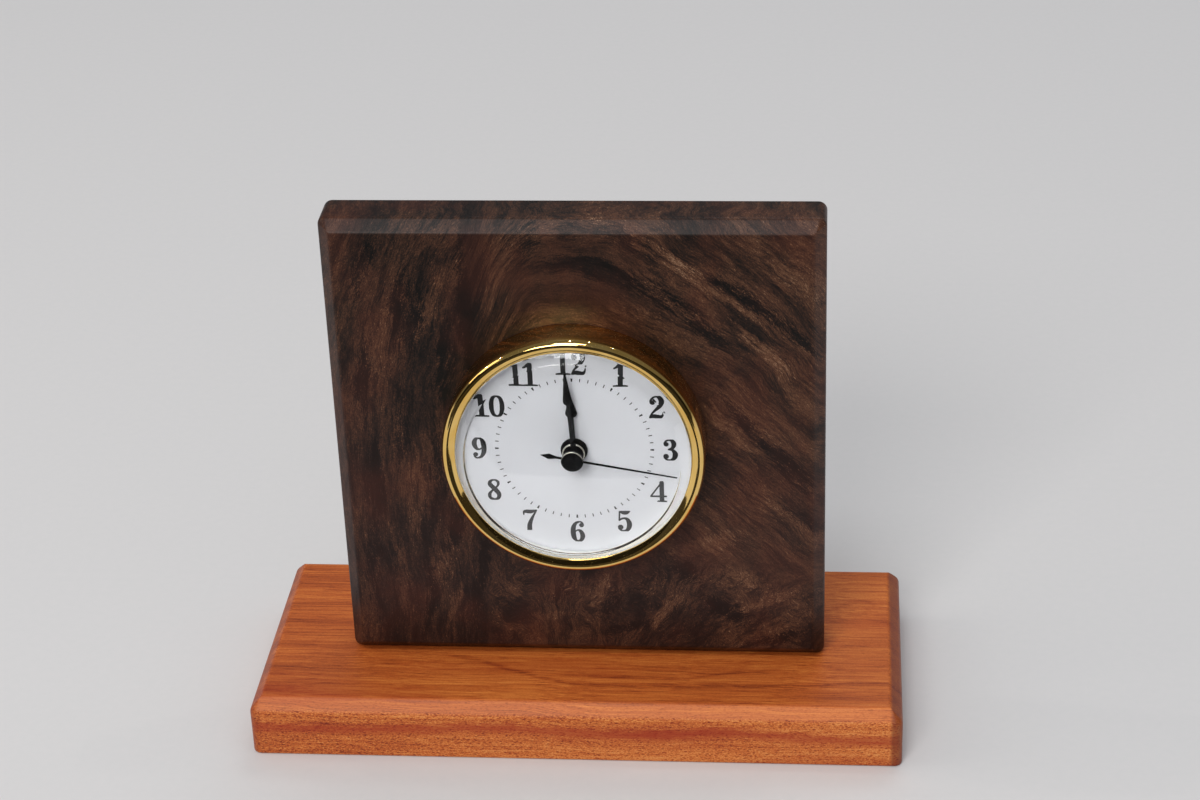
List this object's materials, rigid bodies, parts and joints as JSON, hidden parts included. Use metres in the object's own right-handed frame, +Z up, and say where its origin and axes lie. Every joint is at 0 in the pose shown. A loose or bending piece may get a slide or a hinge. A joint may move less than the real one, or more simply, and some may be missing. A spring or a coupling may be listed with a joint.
{
  "type": "desk clock",
  "caption": "Analogue quartz desk clock: round gilt insert with white dial and black hands, set in an upright walnut plaque on a chamfered reddish wood base.",
  "frame": {"origin": "on the table, under the middle of the base", "axes": "+X to the right seen from the front, +Y away from the viewer, +Z up; the dial faces -Y"},
  "size_m": [0.229, 0.0966, 0.1924],
  "materials": {
    "walnut": "figured dark brown walnut, satin oil",
    "padauk": "orange-red padauk with fine dark pores, satin oil",
    "gilt": "polished gold plating",
    "glass": "clear, polished",
    "dial_white": "cool white, satin, with printed black numerals and ticks",
    "spacer": "pale ring",
    "hand_black": "gloss black",
    "case_black": "moulded, fine spark texture",
    "rubber": "ribbed, matt",
    "nylon": "natural moulded",
    "steel": "bright",
    "brass": "turned",
    "magnet": "sintered, dark grey",
    "copper": "enamelled copper wire, wound",
    "laminate": "green solder mask over glass laminate",
    "epoxy": "black potted drop",
    "cell": "plain dark sleeve with a bare steel cap, no print"
  },
  "bodies": {
    "woodwork": {"base": "padauk", "base_screw_1": "brass", "base_screw_2": "brass", "plaque": "walnut"},
    "insert": {"bezel": "gilt", "crystal": "glass", "dial_spacer": "spacer", "dial": "dial_white", "insert_cup": "case_black", "grip_ring": "rubber", "movement_front": "case_black", "movement_back": "case_black", "train_bridge": "nylon", "contact_plus": "steel", "contact_minus": "steel", "stator": "steel", "coil_core": "steel", "coil_bobbin": "nylon", "coil_winding": "copper", "circuit_board": "laminate", "quartz_can": "steel", "chip": "epoxy"},
    "second_arbor": {"second_wheel": "nylon", "second_hand": "hand_black", "second_hand_cap": "hand_black"},
    "rotor": {"rotor_pinion": "nylon", "rotor_magnet": "magnet"},
    "fifth_arbor": {"fifth_wheel": "nylon"},
    "third_arbor": {"third_wheel": "nylon"},
    "centre_arbor": {"centre_wheel": "nylon"},
    "minute_arbor": {"minute_pipe": "brass", "minute_hand": "hand_black"},
    "motion_arbor": {"motion_wheel": "nylon"},
    "hour_arbor": {"hour_wheel": "nylon", "hour_hand": "hand_black"},
    "knob": {"setting_knob": "case_black"},
    "battery": {"cell": "cell"}
  },
  "joints": [
    {"name": "insert_pull", "type": "slide", "parent": "woodwork", "child": "insert", "axis": [0, -1, 0], "range_m": [0, 0.024]},
    {"name": "second_turn", "type": "hinge", "parent": "insert", "child": "second_arbor", "pos_m": [0.0018, -0.01555, 0.1103], "axis": [0, 1, 0], "continuous": true},
    {"name": "rotor_turn", "type": "hinge", "parent": "insert", "child": "rotor", "pos_m": [-0.01143, -0.01555, 0.11443], "axis": [0, 1, 0], "continuous": true},
    {"name": "fifth_turn", "type": "hinge", "parent": "insert", "child": "fifth_arbor", "pos_m": [-0.00537, -0.01555, 0.11093], "axis": [0, 1, 0], "continuous": true},
    {"name": "third_turn", "type": "hinge", "parent": "insert", "child": "third_arbor", "pos_m": [-0.0027, -0.01555, 0.11809], "axis": [0, 1, 0], "continuous": true},
    {"name": "centre_turn", "type": "hinge", "parent": "insert", "child": "centre_arbor", "pos_m": [0.0018, -0.01555, 0.1103], "axis": [0, 1, 0], "continuous": true},
    {"name": "minute_turn", "type": "hinge", "parent": "insert", "child": "minute_arbor", "pos_m": [0.0018, -0.01555, 0.1103], "axis": [0, 1, 0], "continuous": true},
    {"name": "motion_turn", "type": "hinge", "parent": "insert", "child": "motion_arbor", "pos_m": [0.00969, -0.01555, 0.11317], "axis": [0, 1, 0], "continuous": true},
    {"name": "hour_turn", "type": "hinge", "parent": "insert", "child": "hour_arbor", "pos_m": [0.0018, -0.01555, 0.1103], "axis": [0, 1, 0], "continuous": true},
    {"name": "knob_turn", "type": "hinge", "parent": "insert", "child": "knob", "pos_m": [0.01759, -0.01555, 0.11605], "axis": [0, 1, 0], "continuous": true},
    {"name": "battery_out", "type": "slide", "parent": "insert", "child": "battery", "axis": [0, 1, 0], "range_m": [0, 0.02]}
  ],
  "couplings": [
    {"joint": "rotor_turn", "follows": "second_turn", "ratio": 30},
    {"joint": "fifth_turn", "follows": "second_turn", "ratio": -5},
    {"joint": "third_turn", "follows": "second_turn", "ratio": -0.13333},
    {"joint": "centre_turn", "follows": "second_turn", "ratio": 0.016667},
    {"joint": "motion_turn", "follows": "minute_turn", "ratio": -0.33333},
    {"joint": "hour_turn", "follows": "minute_turn", "ratio": 0.083333},
    {"joint": "knob_turn", "follows": "minute_turn", "ratio": 1}
  ]
}
